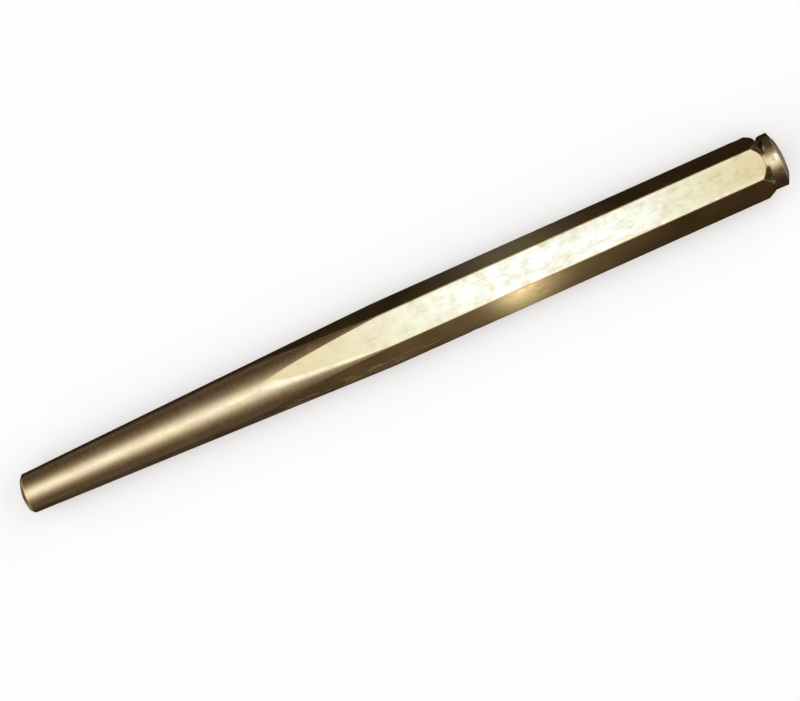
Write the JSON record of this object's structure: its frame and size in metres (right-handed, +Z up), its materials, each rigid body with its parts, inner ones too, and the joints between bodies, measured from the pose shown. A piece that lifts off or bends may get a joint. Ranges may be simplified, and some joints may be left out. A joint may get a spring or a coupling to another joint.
{
  "type": "drift punch",
  "caption": "Solid brass drift punch: hexagonal bar with a long turned taper at the working end and a short round striking head, for driving pins and bearings without marring steel.",
  "frame": {"origin": "middle of the length, on the surface that the punch lies on, under its axis", "axes": "+X along the axis from the working tip to the striking head, +Z up, square to the flat that it lies on"},
  "size_m": [0.271, 0.0218, 0.019],
  "materials": {
    "brass": "drawn bar with turned ends, satin, lightly tarnished and worn"
  },
  "bodies": {
    "root": {"drift_punch": "brass"}
  },
  "joints": []
}
